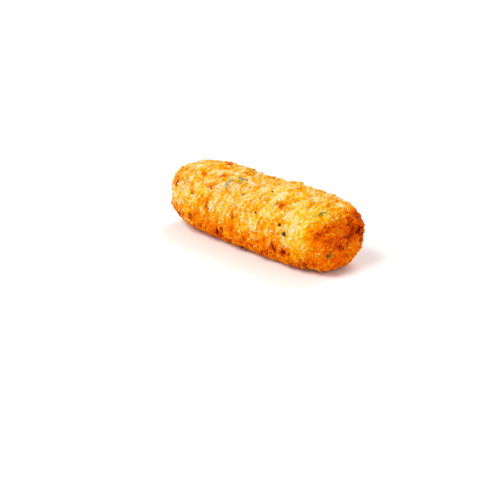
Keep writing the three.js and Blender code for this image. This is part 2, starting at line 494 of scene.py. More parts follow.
@dataclass(frozen=True)
class Pebble:
    """A ball of triangles that grains are shaped from."""

    corners: Array
    faces: Array

    @classmethod
    def of_detail(cls, detail: int) -> "Pebble":
        """Makes a ball of diameter 1.

        Args:
            detail: How fine it is: 20 faces at 0, and 4 times as many at each step.

        Returns:
            The ball.
        """
        golden = (1 + math.sqrt(5)) / 2
        neighbours_within = 1.1  # at radius 1, two corners are either 1.05 or at least 1.7 apart
        corners = [(-1, golden, 0), (1, golden, 0), (-1, -golden, 0), (1, -golden, 0)]
        corners += [(y, z, x) for x, y, z in corners] + [(z, x, y) for x, y, z in corners]
        points = unit(np.array(corners, float))
        near = np.linalg.norm(points[:, None] - points[None], axis=-1) < neighbours_within
        triples = itertools.combinations(range(len(points)), 3)
        faces = np.array([t for t in triples if near[t[0], t[1]] and near[t[1], t[2]] and near[t[0], t[2]]])
        a, b, c = (points[faces[:, k]] for k in range(3))
        inside_out = np.einsum("ij,ij->i", np.cross(b - a, c - a), a + b + c) < 0
        faces[inside_out] = faces[inside_out][:, ::-1]
        for _ in range(detail):
            points, faces = cls._halved(points, faces)
        return cls(points / 2, faces)

    @staticmethod
    def _halved(points: Array, faces: Array) -> tuple[Array, Array]:
        """Cuts each face of a ball of radius 1 in four.

        Args:
            points: The ball's corners.
            faces: Its faces.

        Returns:
            The corners and the faces of the finer ball.
        """
        edges = np.sort(faces[:, [0, 1, 1, 2, 2, 0]].reshape(-1, 2), axis=1)
        pairs, which = np.unique(edges, axis=0, return_inverse=True)
        middle = which.reshape(-1, 3) + len(points)
        ab, bc, ca = middle.T
        a, b, c = faces.T
        cut = np.stack([a, ab, ca, b, bc, ab, c, ca, bc, ab, bc, ca], 1).reshape(-1, 3)
        return np.vstack([points, unit(points[pairs].sum(1))]), cut


def cell_map(count: int, corners: int) -> Array:
    """A map that gives every face a cell of its own in a square grid, or half of one to a triangle.

    Args:
        count: How many faces there are.
        corners: How many corners each has, 3 or 4.

    Returns:
        The places of the faces' corners on the map, shaped (count, corners, 2).
    """
    margin = 0.08
    low, high = margin, 1 - margin
    lower_half = [(low, low), (high - margin, low), (low, high - margin)]
    upper_half = [(high, high), (low + margin, high), (high, low + margin)]
    whole = [(low, low), (high, low), (high, high), (low, high)]
    shapes = np.array([lower_half, upper_half] if corners == 3 else [whole])
    cells = math.ceil(count / len(shapes))
    side = math.ceil(math.sqrt(cells))
    number = np.arange(count)
    cell = number // len(shapes)
    corner = np.stack([cell % side, cell // side], -1)
    return (corner[:, None] + shapes[number % len(shapes)]) / side


@dataclass(frozen=True)
class Mesh:
    """A mesh in the stick's own frame: its points, its faces, its map, and each point's tone and gold."""

    points: Array
    faces: Array
    chart: Array
    tone: Array
    gold: Array | None = None

    def piece(self, name: str, shift: Array, smooth: bool) -> bpy.types.Object:
        """Makes the mesh a Blender object.

        Args:
            name: The piece's name.
            shift: What moves it from the stick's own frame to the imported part's.
            smooth: Whether its faces are shaded as one smooth skin.

        Returns:
            The object.
        """
        count, corners = self.faces.shape
        data = bpy.data.meshes.new(name)
        data.vertices.add(len(self.points))
        data.vertices.foreach_set("co", ((self.points + shift) * MM).astype(np.float32).ravel())
        data.loops.add(count * corners)
        data.loops.foreach_set("vertex_index", self.faces.astype(np.int32).ravel())
        data.polygons.add(count)
        data.polygons.foreach_set("loop_start", np.arange(0, count * corners, corners, dtype=np.int32))
        data.polygons.foreach_set("use_smooth", np.full(count, smooth))
        chart = data.uv_layers.new(name=BAKE_MAP)
        chart.data.foreach_set("uv", self.chart.astype(np.float32).ravel())
        gold = np.zeros(len(self.points)) if self.gold is None else self.gold
        for label, values in ((TONE, self.tone), (GOLD, gold)):
            held = data.attributes.new(label, "FLOAT", "POINT")
            held.data.foreach_set("value", values.astype(np.float32))
        data.update(calc_edges=True)
        data.validate()
        made = bpy.data.objects.new(name, data)
        bpy.context.scene.collection.objects.link(made)
        return made


def merged(meshes: list[Mesh]) -> Mesh:
    """Makes several meshes a single one, with a map made anew.

    Args:
        meshes: The meshes, whose faces all have the same number of corners.

    Returns:
        The single mesh.
    """
    starts = np.cumsum([0] + [len(m.points) for m in meshes[:-1]])
    faces = np.vstack([m.faces + start for m, start in zip(meshes, starts)])
    return Mesh(
        points=np.vstack([m.points for m in meshes]),
        faces=faces,
        chart=cell_map(*faces.shape),
        tone=np.concatenate([m.tone for m in meshes]),
    )


# ---------------------------------------------------------------------------------------------- shaders


@dataclass(frozen=True)
class Wire:
    """A number in a shader, which can be used in arithmetic."""

    sheet: "Sheet"
    socket: bpy.types.NodeSocket

    def _maths(self, operation: str, *values: "Wire | float") -> "Wire":
        """The result of a Math node on the values."""
        node = self.sheet.node("ShaderNodeMath", {"operation": operation}, dict(enumerate(values)))
        return self.sheet.wire(node)

    def __add__(self, other: "Wire | float") -> "Wire":
        """self + other."""
        return self._maths("ADD", self, other)

    def __sub__(self, other: "Wire | float") -> "Wire":
        """self - other."""
        return self._maths("SUBTRACT", self, other)

    def __rsub__(self, other: float) -> "Wire":
        """other - self."""
        return self._maths("SUBTRACT", other, self)

    def __mul__(self, other: "Wire | float") -> "Wire":
        """self * other."""
        return self._maths("MULTIPLY", self, other)

    def smooth(self, low: float, high: float) -> "Wire":
        """A smooth step.

        Args:
            low: The value up to which it is 0.
            high: The value from which it is 1.

        Returns:
            The step as a number.
        """
        inputs = {"Value": self, "From Min": low, "From Max": high}
        node = self.sheet.node("ShaderNodeMapRange", {"interpolation_type": "SMOOTHSTEP"}, inputs)
        return self.sheet.wire(node, "Result")


class Sheet:
    """The node tree of one material or world, with one way to add a node."""

    def __init__(self, owner: bpy.types.Material | bpy.types.World) -> None:
        """Clears the owner's node tree.

        Args:
            owner: The material or world.
        """
        owner.use_nodes = True
        self.tree = owner.node_tree
        self.tree.nodes.clear()

    def node(self, kind: str, settings: dict | None = None, inputs: dict | None = None) -> bpy.types.Node:
        """Adds a node.

        Args:
            kind: The node's type.
            settings: Its properties. The key stops holds a ramp's stops, as (position, colour) pairs.
            inputs: What its input sockets get, by name or number: a Wire, a socket or a value.

        Returns:
            The node.
        """
        node = self.tree.nodes.new(kind)
        for key, value in (settings or {}).items():
            if key == "stops":
                self._set_stops(node.color_ramp, value)
            else:
                setattr(node, key, value)
        for key, value in (inputs or {}).items():
            source = value.socket if isinstance(value, Wire) else value
            if isinstance(source, bpy.types.NodeSocket):
                self.tree.links.new(source, node.inputs[key])
            else:
                node.inputs[key].default_value = source
        return node

    @staticmethod
    def _set_stops(ramp: bpy.types.ColorRamp, stops: tuple[tuple[float, Colour], ...]) -> None:
        """Gives a ramp its stops.

        Args:
            ramp: The ramp.
            stops: Its stops, as (position, colour) pairs.
        """
        ramp.interpolation = "LINEAR"
        while len(ramp.elements) < len(stops):
            ramp.elements.new(0.5)  # at any position, because the loop below sets it
        for element, (position, colour) in zip(ramp.elements, stops):
            element.position = position
            element.color = (*colour, 1.0)

    def wire(self, node: bpy.types.Node, output: str | int = 0) -> Wire:
        """A node's output as a number."""
        return Wire(self, node.outputs[output])

    def place(self) -> bpy.types.NodeSocket:
        """Finds where on a piece the shader is.

        Returns:
            The place in the texture's own frame, in millimetres that are drawn out by the streaks.
        """
        where = self.node("ShaderNodeTexCoord").outputs["Object"]
        inputs = {"Vector": where, "Rotation": (0, LEAN, 0), "Scale": [MM / streak for streak in STREAKS]}
        return self.node("ShaderNodeMapping", {"vector_type": "TEXTURE"}, inputs).outputs[0]

    def noise(self, place: bpy.types.NodeSocket, grain: float, detail: float = 2.0) -> Wire:
        """Noise from -1 to 1 with bumps about a grain apart."""
        inputs = {"Vector": place, "Scale": 1 / grain, "Detail": detail}
        return self.wire(self.node("ShaderNodeTexNoise", None, inputs), "Fac") * 2 - 1


@dataclass(frozen=True)
class Finish:
    """A finish whose colour follows the tone of its piece, with mottling, gloss and a fine grain."""

    name: str
    stops: tuple[tuple[float, Colour], ...]
    mottles: tuple[tuple[float, float], ...]  # each one's grain, and how far it moves the tone
    roughness: float
    roughness_change: float
    bump_grain: float
    bump_depth: float
    bump_detail: float = 3.0
    even_brown: float = 1.3  # the tone at which mottling would end
    specular: float = 0.08
    coat: float = 0.0
    coat_roughness: float = 0.25
    oily_from: tuple[float, float] | None = None  # the noise between which oil begins, or None for all over
    oil_grain: float = 0.8
    oil_detail: float = 1.0
    scatter: float = 0.0
    scatter_radius: Colour = (1.0, 0.4, 0.12)
    scatter_depth: float = 0.6
    gilding: Colour = (1.0, 1.2, 1.0)  # what the colour is multiplied by where gold is 1
    gilds_from: tuple[float, float] = (0.0, 0.2)  # the tones between which gold begins to count

    def material(self) -> bpy.types.Material:
        """The finish's material, made the first time."""
        return bpy.data.materials.get(self.name) or self._made()

    def _coat(self, sheet: Sheet, place: bpy.types.NodeSocket) -> Wire | float:
        """Works out how strong the glossy coat of oil is.

        Args:
            sheet: The material's nodes.
            place: The place on the piece.

        Returns:
            The strength, which is one value where the finish has a coat all over.
        """
        if self.oily_from is None:
            return self.coat
        spots = sheet.noise(place, self.oil_grain, self.oil_detail)
        return spots.smooth(*self.oily_from) * self.coat

    def _made(self) -> bpy.types.Material:
        """Makes the material.

        Returns:
            The material, whose colour follows the tone and gold that the mesh holds.
        """
        material = bpy.data.materials.new(self.name)
        sheet = Sheet(material)
        place = sheet.place()
        tone = sheet.wire(sheet.node("ShaderNodeAttribute", {"attribute_name": TONE}), "Fac")
        evenness = self.even_brown - tone
        for grain, change in self.mottles:
            tone = tone + sheet.noise(place, grain) * evenness * change
        ramp = sheet.node("ShaderNodeValToRGB", {"stops": self.stops}, {"Fac": tone})
        gold = sheet.wire(sheet.node("ShaderNodeAttribute", {"attribute_name": GOLD}), "Fac")
        gold = gold * tone.smooth(*self.gilds_from)
        mix = {"data_type": "RGBA", "blend_type": "MULTIPLY"}
        inputs = {0: gold, 6: ramp.outputs["Color"], 7: (*self.gilding, 1.0)}  # its sockets for colours
        colour = sheet.node("ShaderNodeMix", mix, inputs).outputs[2]
        fine = sheet.noise(place, self.bump_grain, self.bump_detail)
        bump_inputs = {"Height": fine, "Distance": self.bump_depth * MM, "Strength": 1.0}
        bump = sheet.node("ShaderNodeBump", None, bump_inputs)
        surface = sheet.node(
            "ShaderNodeBsdfPrincipled",
            None,
            {
                "Base Color": colour,
                "Roughness": fine * self.roughness_change + self.roughness,
                "Normal": bump.outputs["Normal"],
                "Specular IOR Level": self.specular,
                "Coat Weight": self._coat(sheet, place),
                "Coat Roughness": self.coat_roughness,
                "Subsurface Weight": self.scatter,
                "Subsurface Radius": self.scatter_radius,
                "Subsurface Scale": self.scatter_depth * MM,
            },
        )
        sheet.node("ShaderNodeOutputMaterial", None, {"Surface": surface.outputs["BSDF"]})
        return material


FRIED = (
    (0.0, (0.93, 0.80, 0.57)),
    (0.12, (0.83, 0.575, 0.16)),
    (0.22, (0.83, 0.505, 0.03)),
    (0.3, (0.85, 0.445, 0.008)),
    (0.45, (0.86, 0.29, 0.002)),
    (0.6, (0.87, 0.18, 0.001)),
    (0.75, (0.75, 0.086, 0.001)),
    (0.88, (0.32, 0.022, 0.001)),
    (1.0, (0.09, 0.007, 0.001)),
)
CRUST_FINISH = Finish(
    name="fried_crust",
    stops=FRIED,
    mottles=((2.6, 0.12), (0.9, 0.30), (0.35, 0.30)),
    roughness=0.5,
    roughness_change=0.15,
    bump_grain=0.24,
    bump_depth=0.12,
    specular=0.0,
    scatter=0.12,
)
CRUMB_FINISH = Finish(
    name="fried_crumb",
    stops=FRIED,
    mottles=((0.8, 0.15), (0.3, 0.2)),
    roughness=0.45,
    roughness_change=0.15,
    bump_grain=0.18,
    bump_depth=0.04,
    specular=0.0,
    coat=0.9,
    coat_roughness=0.14,
    oily_from=(0.1, 0.35),
    scatter=0.12,
)
HERB_FINISH = Finish(
    name="dried_herb",
    stops=(
        (0.0, (0.44, 0.48, 0.36)),
        (0.25, (0.24, 0.32, 0.22)),
        (0.45, (0.10, 0.17, 0.08)),
        (0.65, (0.09, 0.18, 0.015)),
        (1.0, (0.50, 0.30, 0.02)),
    ),
    mottles=((0.9, 0.3), (0.3, 0.3)),
    roughness=0.5,
    roughness_change=0.1,
    bump_grain=0.2,
    bump_depth=0.05,
)
CHILLI_FINISH = Finish(
    name="dried_chilli",
    stops=((0.0, (0.80, 0.20, 0.03)), (0.5, (0.50, 0.07, 0.012)), (1.0, (0.20, 0.018, 0.005))),
    mottles=((0.9, 0.5), (0.3, 0.3)),
    roughness=0.34,
    roughness_change=0.1,
    bump_grain=0.3,
    bump_depth=0.06,
    coat=0.3,
    scatter=0.1,
)
PEPPER_FINISH = Finish(
    name="cracked_pepper",
    stops=((0.0, (0.045, 0.030, 0.030)), (0.5, (0.09, 0.028, 0.010)), (1.0, (0.26, 0.042, 0.008))),
    mottles=((0.5, 0.3),),
    roughness=0.35,
    roughness_change=0.12,
    bump_grain=0.25,
    bump_depth=0.06,
    specular=0.0,
    coat=0.3,
    coat_roughness=0.2,
)


# ----------------------------------------------------------------------------------------- sub-assemblies


def dressed(
    mesh: Mesh, name: str, shift: Array, finish: Finish, smooth: bool = False
) -> bpy.types.Object:
    """Makes a mesh a piece, with its finish and the body that it rides on.

    Args:
        mesh: The mesh.
        name: The piece's name.
        shift: What moves it from the stick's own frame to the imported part's.
        finish: Its finish.
        smooth: Whether its faces are shaded as one smooth skin.

    Returns:
        The piece.
    """
    piece = mesh.piece(name, shift, smooth)
    piece.data.materials.append(finish.material())
    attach(piece, BODY)
    return piece


@dataclass(frozen=True)
class Stain:
    """A patch of crust that differs: its given place, how far it reaches and by how much it differs."""

    spot: Spot
    where: float
    angle: float
    reach: float
    change: float

    def felt(self, form: StickForm, points: Array) -> Array:
        """The change at points of the crust, which fades away from the patch's middle on the form."""
        away = points - form.point(form.placed(self.spot, self.where, self.angle))
        return self.change * np.exp(-(away**2).sum(-1) / self.reach**2)


@dataclass(frozen=True)
class Browning:
    """Where the crust is browner, with painted shade on its low sides, as the tone at a place: 0 is the
    palest and 1 the darkest.
    """

    form: StickForm
    plain: float = 0.315
    blunt_end: float = 0.34
    # the low sides: partly browner from frying, partly painted shade where they face down and away from the
    # light
    low_side_brown_and_shade: float = 0.34
    slim_end: float = 0.06
    sweeps: Layer = Layer(9.0, 0.09, 51)
    patches: Layer = Layer(3.2, 0.09, 67)
    strokes: Layer = Layer(1.7, 0.14, 71)  # short strokes of colour that run round the stick
    stroke_draw: tuple[float, float, float] = (2.2, 0.6, 0.6)  # how much finer than plain they are
    ragged: Layer = Layer(1.9, 0.12, 67)
    even_end: float = 0.3  # how much less patchy the blunt end is
    stains: tuple[Stain, ...] = (
        Stain(SIDE, -27, 160, 6, -0.05),
        Stain(SIDE, -22, 145, 3.5, -0.12),
        Stain(SIDE, -17.5, 100, 4, -0.12),
        Stain(SIDE, -10.5, 145, 5, -0.18),
        Stain(SIDE, -10, 195, 4, -0.1),
        Stain(SIDE, 2.5, 125, 5, -0.12),
        Stain(SIDE, 8.5, 110, 3, -0.16),
        Stain(SIDE, 16, 140, 7, -0.1),
        Stain(SIDE, 31.5, 170, 5.5, -0.18),
        Stain(SIDE, 34.5, 135, 4.5, -0.08),
        Stain(SIDE, 36, 155, 4.5, -0.12),
        Stain(END, 6, 330, 3, -0.1),
        Stain(SIDE, -36.5, 150, 1.8, 0.32),
        Stain(SIDE, -25, 200, 1.6, 0.3),
        Stain(SIDE, -24, 120, 1.5, 0.45),
        Stain(SIDE, -24, 155, 1.8, 0.12),
        Stain(SIDE, -21.5, 75, 1.4, 0.4),
        Stain(SIDE, -21, 180, 2.2, 0.12),
        Stain(SIDE, -19, 160, 2.4, 0.15),
        Stain(SIDE, -15.5, 140, 1.4, 0.2),
        Stain(SIDE, -15, 170, 1.7, 0.3),
        Stain(SIDE, -14.5, 110, 1.6, 0.22),
        Stain(SIDE, -7, 135, 2, 0.12),
        Stain(SIDE, -1, 170, 1.1, 0.26),
        Stain(SIDE, 6, 150, 2.5, 0.12),
        Stain(SIDE, 12.5, 170, 2, 0.12),
        Stain(SIDE, 20, 200, 2.3, 0.32),
        Stain(SIDE, 21, 135, 1.6, 0.24),
        Stain(SIDE, 24.5, 205, 2, 0.28),
        Stain(SIDE, 25.5, 55, 5, 0.1),
        Stain(SIDE, 39.5, 160, 4, 0.12),
        Stain(END, 2, 310, 1.5, 0.16),
        Stain(END, 3.5, 215, 1.2, 0.2),
        Stain(END, 4.5, 45, 2, 0.18),
        Stain(END, 7, 15, 1.8, 0.28),
        Stain(END, 7.5, 70, 1.6, 0.14),
        Stain(END, 8.5, 130, 1, 0.16),
        Stain(END, 10.5, 40, 2.4, 0.2),
    )
    bare: tuple[Stain, ...] = (
        Stain(SIDE, 36, 140, 7, -0.6),
        Stain(SIDE, 31.5, 170, 5, -0.35),
        Stain(SIDE, 6, 155, 3.5, -0.4),
        Stain(SIDE, 25.5, 55, 4, -0.4),
    )  # where fewer pale crumbs lie
    clumps: Layer = Layer(2.0, 1.4, 97)  # how unevenly they lie elsewhere
    gilt: tuple[Stain, ...] = (
        Stain(SIDE, 33, 150, 8, 0.8),
        Stain(SIDE, 24, 125, 8, 0.5),
        Stain(SIDE, 14, 150, 7, 0.3),
        Stain(SIDE, -27, 160, 8, 0.35),
        Stain(END, 2, 270, 9, -1.2),
    )  # where the crust is yellower
    gilt_sweeps: Layer = Layer(6.0, 0.4, 83)
    gilt_plain: float = 0.35
    gilt_front: tuple[float, float] = (-9.0, 3.0)  # it is yellower only in front, between these; the back, in shade, is kept orange as painted warm shade
    rim_height: float = 9.2  # how high the browner end reaches, at x of rim_x and in the middle
    rim_x: float = 41.0
    rim_slopes: tuple[float, float] = (0.29, 0.1)  # and how it changes with x and y
    rim_ragged: float = 9.0  # how far the ragged layer moves it
    rim_fade: tuple[float, float] = (-3.5, 3.0)  # the depths below it between which the browning sets in
    end_faces: tuple[float, float] = (0.0, 0.42)  # how far crust faces +X as it comes to be the blunt end
    slim_faces: tuple[float, float] = (0.3, 0.9)  # and how far -X for the slim end
    low_faces: tuple[float, float] = (-0.1, 0.7)  # and how far down for the low sides, browner and with painted shade

    def pale_density(self, points: Array) -> Array:
        """How densely pale crumbs lie at the points, for an even share of 1."""
        clumps = np.exp(self.clumps.rise * self.clumps.noise(points))
        return clumps * np.prod([1 + spot.felt(self.form, points) for spot in self.bare], axis=0)

    def gold(self, points: Array) -> Array:
        """Works out how much yellower the crust is than others of its tone, only in front: the back, in
        shade, is kept orange as painted warm shade.

        Args:
            points: Places on the crust.

        Returns:
            A share from 0 to 1 for each.
        """
        gold = self.gilt_plain + self.gilt_sweeps.rise * self.gilt_sweeps.noise(points)
        gold += sum(spot.felt(self.form, points) for spot in self.gilt)
        # yellower only in front; the shaded back is kept orange as painted warm shade
        return np.clip(gold, 0, 1) * smoothstep(-points[..., 1], *self.gilt_front)

    def end_share(self, points: Array, outward: Array) -> Array:
        """Works out how far the crust belongs to the browner blunt end.

        Args:
            points: Places on the crust.
            outward: The way out of the plain form at each.

        Returns:
            A share from 0 to 1 for each.
        """
        x, y, z = np.moveaxis(points, -1, 0)
        ragged = self.ragged.rise * self.ragged.noise(points)
        rim = self.rim_height + self.rim_slopes[0] * (x - self.rim_x) + self.rim_slopes[1] * y
        below_rim = smoothstep(rim - z + self.rim_ragged * ragged, *self.rim_fade)
        return smoothstep(outward[..., 0] + ragged, *self.end_faces) * below_rim

    def at(self, points: Array, outward: Array) -> Array:
        """Works out how brown the crust is, with painted shade where its low sides face down.

        Args:
            points: Places on the crust.
            outward: The way out of the plain form at each.

        Returns:
            The tone at each.
        """
        end = self.end_share(points, outward)
        tone = self.plain + self.blunt_end * end
        # low sides: browner from frying, and darker with painted shade where they face down
        tone += self.low_side_brown_and_shade * smoothstep(-outward[..., 2], *self.low_faces) * (1 - end)
        tone += self.slim_end * smoothstep(-outward[..., 0], *self.slim_faces)
        patchy = 1 - self.even_end * end
        for layer in (self.sweeps, self.patches):
            tone += layer.rise * patchy * layer.noise(drawn(points))
        tone += self.strokes.rise * patchy * self.strokes.noise(drawn(points, self.stroke_draw))
        for stain in self.stains:
            tone += stain.felt(self.form, points)
        return tone


@dataclass
class Crust:
    """The fried skin: a closed grid drawn onto the stick's form, with packed crumbs as its relief, and
    painted shade in its creases.
    """

    form: StickForm
    browning: Browning
    faces_along: int = 270
    faces_across: int = 72  # on each quarter of the way round, and both ways on the ends
    chunks: Layer = Layer(2.3, 0.25, 5)
    crumbs: Layer = Layer(1.0, 0.34, 8)
    grit: Layer = Layer(0.55, 0.08, 13)
    chunk_middle: float = 0.5  # the height of a packed chunk at which it neither lifts nor sinks the skin
    crumb_middle: float = 0.4  # and that of a packed crumb
    pressed_dents: Layer = Layer(1.6, 0.15, 29)
    # painted shade in the creases between packed crumbs and in the crags' hollows, and painted light on
    # their tops
    crease_painted_shade: float = 0.26
    pit_painted_shade: float = 0.12
    chunks_differ: float = 0.06
    crumbs_differ: float = 0.12
    flakes_differ: float = 0.05
    flakes_uneven: float = 0.3
    flake_bumps: float = 1.1  # how many bumps there are to a millimetre of a large flake's rim
    flake_shoulder: float = 0.4  # how far inside its rim it is at its height, for 1 at its middle
    flake_seed: float = 4
    calm_relief: float = 0.3  # how much lower the relief is on the blunt end
    calm_tone: float = 0.7  # how much less the tone differs from crumb to crumb there, painted crease shade included
    palest: float = 0.12
    chart_side_width: float = 0.745  # the share of the map's width that the long sides take
    chart_gap: float = 0.005
    faces: Array = field(init=False)
    normals: Array = field(init=False)  # the way out at each point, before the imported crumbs
    points: Array = field(init=False)
    tone: Array = field(init=False)

    def __post_init__(self) -> None:
        """Works out the skin, which loose crumbs are then scattered on."""
        along, out, angle = self._grid()
        base, outward = self.form.crust(along, out, angle)
        self.faces = self._faces()
        flaked, flake_luck = self._flake_rise(base)
        base += outward * flaked[:, None]
        self.normals = self._normals(base)
        chunk, chunk_luck = self.chunks.crumbs(drawn(base))
        crumb, crumb_luck = self.crumbs.crumbs(drawn(base))
        rise = self.chunks.rise * (chunk - self.chunk_middle)
        rise += self.crumbs.rise * (crumb - self.crumb_middle)
        rise += self.grit.rise * self.grit.noise(base)
        tone = self.browning.at(base, outward)
        end = self.browning.end_share(base, outward)
        rise *= 1 - self.calm_relief * end
        skin = base + self.normals * rise[:, None]
        dents = self.pressed_dents.rise * np.maximum(0, self.pressed_dents.noise(base))
        skin[:, 2] = np.maximum(skin[:, 2], self.form.floor + dents)
        self.points = skin
        # painted shade in the creases and hollows of the relief, painted light on its tops, then each
        # chunk's and crumb's own tone
        change = self.crease_painted_shade * (0.5 - crumb)
        change += self.pit_painted_shade * (0.5 - 2 * np.abs(self.form.crags.noise(base)))
        change += self.chunks_differ * chunk_luck + self.crumbs_differ * crumb_luck
        tone += self.flakes_differ * flake_luck
        tone += change * (1 - self.calm_tone * end)
        self.tone = np.maximum(tone, self.palest)

    def _flake_rise(self, base: Array) -> tuple[Array, Array]:
        """Works out what the large flakes of crumb do to the skin.

        Args:
            base: The form's points.

        Returns:
            How far the flakes lift each, and a number from -1 to 1 that all of a flake shares.
        """
        rise, luck = np.zeros(len(base)), np.zeros(len(base))
        for number, place in enumerate(self.form.scattered(LARGE_FLAKES)):
            point, axes = self.form.turned_axes(place)
            half = place.size * np.array(LARGE_FLAKES.shape) / 2
            away = (base - point) @ axes.T
            rim = np.linalg.norm(away[:, :2] / half[:2], axis=1)
            rim = rim * (1 + self.flakes_uneven * smooth_noise(base * self.flake_bumps + number))
            stands = place.size * LARGE_FLAKES.shape[2] * (0.5 - LARGE_FLAKES.sunk)
            dome = stands + half[2] * np.sqrt(np.clip(1 - rim**2, 0, 1)) - away[:, 2]
            domed = dome * smoothstep(1 - rim, 0, self.flake_shoulder)
            flake = np.where(np.abs(away[:, 2]) < place.size, domed, 0)
            shared = 2 * scramble(number, self.flake_seed, Draw.FLAKE_TONE) - 1
            luck = np.where(flake > rise, shared, luck)
            rise = np.maximum(rise, flake)
        return rise, luck

    def _ring(self) -> int:
        """How many points go round the stick."""
        return 4 * self.faces_across

    def _grid(self) -> tuple[Array, Array, Array]:
        """Lays out the skin's grid: the long sides' rings, then what each end has inside its rim.

        Returns:
            How far along, how far out and at what angle each point is, as the form's crust takes them.
        """
        ring, rows, half = self._ring(), self.faces_along + 1, self.faces_across // 2
        around = -math.pi / 4 + 2 * math.pi * np.arange(ring) / ring
        along = np.repeat(np.linspace(-1, 1, rows), ring)
        a, b = (v.ravel() for v in np.meshgrid(*[np.arange(1 - half, half)] * 2, indexing="ij"))
        out, angle = self._square(a, b)
        ends = [np.full(a.size, end) for end in (-1.0, 1.0)]
        return (
            np.concatenate([along, *ends]),
            np.concatenate([np.ones(along.size), out, out]),
            np.concatenate([np.tile(around, rows), angle, angle]),
        )

    def _square(self, a: Array, b: Array) -> tuple[Array, Array]:
        """Wraps a square grid onto a round end.

        Args:
            a: The points' numbers one way, from the middle.
            b: Their numbers the other way.

        Returns:
            How far out each point is, and its angle round the stick.
        """
        ring = np.maximum(np.abs(a), np.abs(b))
        safe = np.maximum(ring, 1)
        quarter = math.pi / 4
        angle = np.select(
            [a == ring, b == ring, a == -ring],
            [quarter * b / safe, math.pi / 2 - quarter * a / safe, math.pi - quarter * b / safe],
            1.5 * math.pi + quarter * a / safe,
        )
        return ring / (self.faces_across / 2), angle

    def _end_points(self, end: int) -> Array:
        """Lists the points of an end.

        Args:
            end: 0 for the slim end and 1 for the blunt one.

        Returns:
            The points' numbers as a square table, whose rim is the last ring of the long sides.
        """
        ring, half, inside = self._ring(), self.faces_across // 2, self.faces_across - 1
        a, b = np.meshgrid(*[np.arange(-half, half + 1)] * 2, indexing="ij")
        angle = self._square(a, b)[1]
        rim = np.rint((angle + math.pi / 4) / (2 * math.pi) * ring).astype(int) % ring
        first = (self.faces_along + 1) * ring + end * inside**2
        inner = first + (a + half - 1) * inside + (b + half - 1)
        on_rim = np.maximum(np.abs(a), np.abs(b)) == half
        return np.where(on_rim, end * self.faces_along * ring + rim, inner)

    def _faces(self) -> Array:
        """Joins the grid's points.

        Returns:
            The faces, as four point numbers each: the long sides, then the slim end and the blunt one.
        """
        ring = self._ring()
        i, j = (v.ravel() for v in np.meshgrid(np.arange(self.faces_along), np.arange(ring), indexing="ij"))
        k = (j + 1) % ring
        sides = np.stack([i * ring + j, i * ring + k, (i + 1) * ring + k, (i + 1) * ring + j], -1)
        slim, blunt = (self._end_points(end) for end in (0, 1))
        corners = [(slice(None, -1), slice(None, -1)), (slice(1, None), slice(None, -1))]
        corners += [(slice(1, None), slice(1, None)), (slice(None, -1), slice(1, None))]
        facing_x = np.stack([blunt[c].ravel() for c in corners], -1)
        facing_back = np.stack([slim[c].ravel() for c in reversed(corners)], -1)
        return np.vstack([sides, facing_back, facing_x])

    def _chart(self) -> Array:
        """Makes the skin's map: the long sides as one sheet, and a square beside it for each end.

        Returns:
            The places of the faces' corners on the map.
        """
        ring, across, wide, gap = self._ring(), self.faces_across, self.chart_side_width, self.chart_gap
        i, j = (v.ravel() for v in np.meshgrid(np.arange(self.faces_along), np.arange(ring), indexing="ij"))
        u = np.stack([i, i, i + 1, i + 1], -1) / self.faces_along
        v = np.stack([j, j + 1, j + 1, j], -1) / ring
        sides = np.stack([gap + u * (wide - 2 * gap), gap + v * (1 - 2 * gap)], -1)
        a, b = (v.ravel() for v in np.meshgrid(np.arange(across), np.arange(across), indexing="ij"))
        rows, columns = np.stack([a, a + 1, a + 1, a], -1), np.stack([b, b, b + 1, b + 1], -1)
        square = np.stack([rows, columns], -1) / across
        side = 1 - wide - 2 * gap
        slim = square[:, ::-1] * side + (wide + gap, gap)
        blunt = square * side + (wide + gap, 2 * gap + side)
        return np.vstack([sides, slim, blunt])

    def _normals(self, points: Array) -> Array:
        """Works out the way out of the skin.

        Args:
            points: The skin's points.

        Returns:
            The way out at each, as the mean of the faces round it.
        """
        p = points[self.faces]
        face = np.cross(p[:, 2] - p[:, 0], p[:, 3] - p[:, 1])
        total = np.zeros_like(points)
        for corner in range(4):
            np.add.at(total, self.faces[:, corner], face)
        return unit(total)

    def scatter(
        self, count: int, brown_pull: float, luck: np.random.Generator
    ) -> tuple[Array, Array, Array]:
        """Spreads spots at random over the skin.

        Args:
            count: How many.
            brown_pull: How much they gather where the skin is brown, or below 0 where it is pale.
            luck: Where the random numbers come from.

        Returns:
            The spots' points, the way out of the skin there, and the skin's tone there.
        """
        p = self.points[self.faces]
        weight = np.linalg.norm(np.cross(p[:, 2] - p[:, 0], p[:, 3] - p[:, 1]), axis=1)
        weight *= np.exp(brown_pull * (self.tone[self.faces].mean(1) - self.browning.plain))
        if brown_pull < 0:
            weight *= self.browning.pale_density(p.mean(1))
        chosen = self.faces[luck.choice(len(weight), count, p=weight / weight.sum())]
        u, v = luck.random((2, count, 1))
        weights = np.stack([(1 - u) * (1 - v), u * (1 - v), u * v, (1 - u) * v], 1)
        return (
            (self.points[chosen] * weights).sum(1),
            unit((self.normals[chosen] * weights).sum(1)),
            (self.tone[chosen] * weights[..., 0]).sum(1),
        )

    def build(self, shift: Array) -> bpy.types.Object:
        """Makes the skin a piece, which replaces the solid.

        Args:
            shift: What moves it from the stick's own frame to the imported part's.

        Returns:
            The piece.
        """
        mesh = Mesh(self.points, self.faces, self._chart(), self.tone, self.browning.gold(self.points))
        piece = dressed(mesh, "crust", shift, CRUST_FINISH, smooth=True)
        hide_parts(NODE)
        return piece


